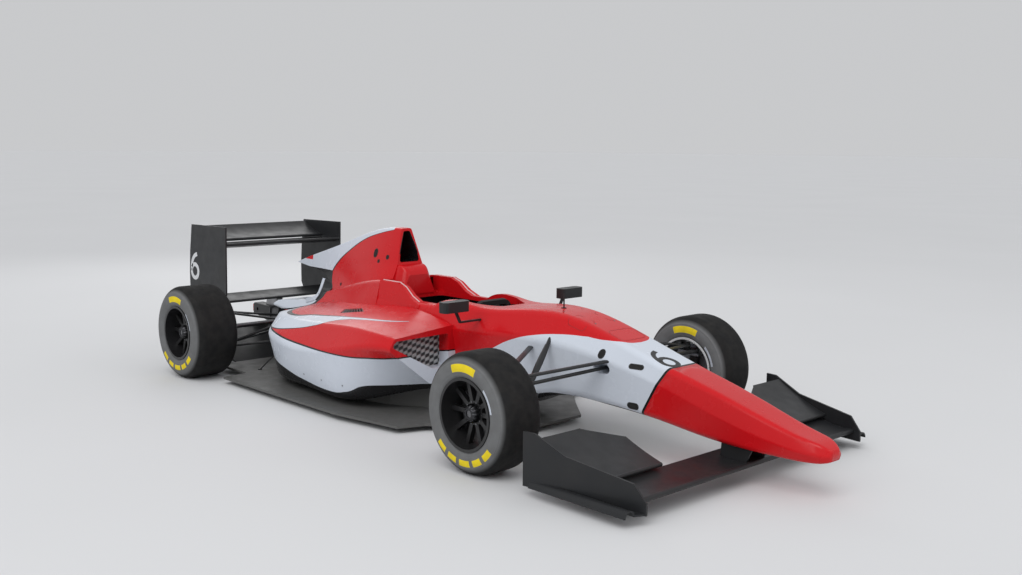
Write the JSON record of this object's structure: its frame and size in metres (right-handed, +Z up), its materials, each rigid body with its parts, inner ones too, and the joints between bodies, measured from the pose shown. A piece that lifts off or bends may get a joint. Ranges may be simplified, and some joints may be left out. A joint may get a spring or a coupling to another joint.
{
  "type": "open wheel racing car",
  "caption": "Single-seat open wheel racing car with nose, side pods, front and rear wings, slick tyres, turning wheels and linked steering.",
  "frame": {"origin": "on the ground under the middle of the car's length and width", "axes": "+X forward, +Y to the car's left, +Z up"},
  "size_m": [4.805, 1.8452, 0.9872],
  "materials": {
    "body_paint": "gloss paint on moulded composite",
    "carbon": "satin black composite",
    "carbon_arms": "satin black",
    "plank_wood": "dark laminate",
    "cast_alloy": "cast",
    "bare_alloy": "machined",
    "hub_steel": "machined",
    "rim_black": "black satin",
    "tyre": "slick rubber",
    "grip": "matt",
    "light_red": "clear red lens"
  },
  "bodies": {
    "chassis": {"nose_cone": "body_paint", "monocoque": "body_paint", "cockpit_surround": "body_paint", "roll_hoop": "body_paint", "engine_cover": "body_paint", "side_pod_left": "body_paint", "side_pod_right": "body_paint", "floor": "carbon", "diffuser": "carbon", "rear_beam_wing": "carbon", "rear_wing_planes": "carbon", "rear_wing_endplates": "carbon", "front_wing_endplates": "carbon", "front_wing_main_plane": "carbon", "front_wing_flaps": "carbon", "front_wing_pylons": "carbon", "rear_impact_structure": "carbon", "mirrors": "carbon", "seat": "carbon", "upper_wishbones": "carbon_arms", "lower_wishbones": "carbon_arms", "push_rods": "carbon_arms", "skid_plank": "plank_wood", "engine": "cast_alloy", "gearbox": "cast_alloy", "radiators": "cast_alloy", "rear_uprights": "bare_alloy", "rear_wing_supports": "bare_alloy", "antenna": "grip", "rain_light": "light_red"},
    "steer_left": {"front_upright_left": "bare_alloy"},
    "steer_right": {"front_upright_right": "bare_alloy"},
    "wheel_front_left": {"hub_front_left": "hub_steel", "rim_front_left": "rim_black", "tyre_front_left": "tyre"},
    "wheel_front_right": {"hub_front_right": "hub_steel", "rim_front_right": "rim_black", "tyre_front_right": "tyre"},
    "wheel_rear_left": {"hub_rear_left": "hub_steel", "rim_rear_left": "rim_black", "tyre_rear_left": "tyre"},
    "wheel_rear_right": {"hub_rear_right": "hub_steel", "rim_rear_right": "rim_black", "tyre_rear_right": "tyre"},
    "rack": {"steering_rack": "carbon_arms"},
    "hand_wheel": {"steering_wheel": "grip"}
  },
  "joints": [
    {"name": "steer_left_turn", "type": "hinge", "parent": "chassis", "child": "steer_left", "pos_m": [1.0775, 0.7005, 0.2825], "axis": [0, 0, 1], "range_deg": [-18, 18]},
    {"name": "steer_right_turn", "type": "hinge", "parent": "chassis", "child": "steer_right", "pos_m": [1.0775, -0.7005, 0.2825], "axis": [0, 0, 1], "range_deg": [-18.5, 18.5]},
    {"name": "rack_slide", "type": "slide", "parent": "chassis", "child": "rack", "axis": [0, 1, 0], "range_m": [-0.026, 0.026]},
    {"name": "hand_wheel_turn", "type": "hinge", "parent": "chassis", "child": "hand_wheel", "pos_m": [0.2475, 0, 0.548], "axis": [0.9781, 0, -0.2079], "range_deg": [-150, 150]},
    {"name": "front_left_spin", "type": "hinge", "parent": "steer_left", "child": "wheel_front_left", "pos_m": [1.0775, 0.8, 0.2825], "axis": [0, 1, 0], "continuous": true},
    {"name": "front_right_spin", "type": "hinge", "parent": "steer_right", "child": "wheel_front_right", "pos_m": [1.0775, -0.8, 0.2825], "axis": [0, 1, 0], "continuous": true},
    {"name": "rear_left_spin", "type": "hinge", "parent": "chassis", "child": "wheel_rear_left", "pos_m": [-1.7025, 0.77, 0.2925], "axis": [0, 1, 0], "continuous": true},
    {"name": "rear_right_spin", "type": "hinge", "parent": "chassis", "child": "wheel_rear_right", "pos_m": [-1.7025, -0.77, 0.2925], "axis": [0, 1, 0], "continuous": true}
  ],
  "couplings": [
    {"joint": "steer_right_turn", "follows": "steer_left_turn", "ratio": 1},
    {"joint": "rack_slide", "follows": "steer_left_turn", "m_per_rad": 0.075},
    {"joint": "hand_wheel_turn", "follows": "steer_left_turn", "ratio": -8}
  ]
}
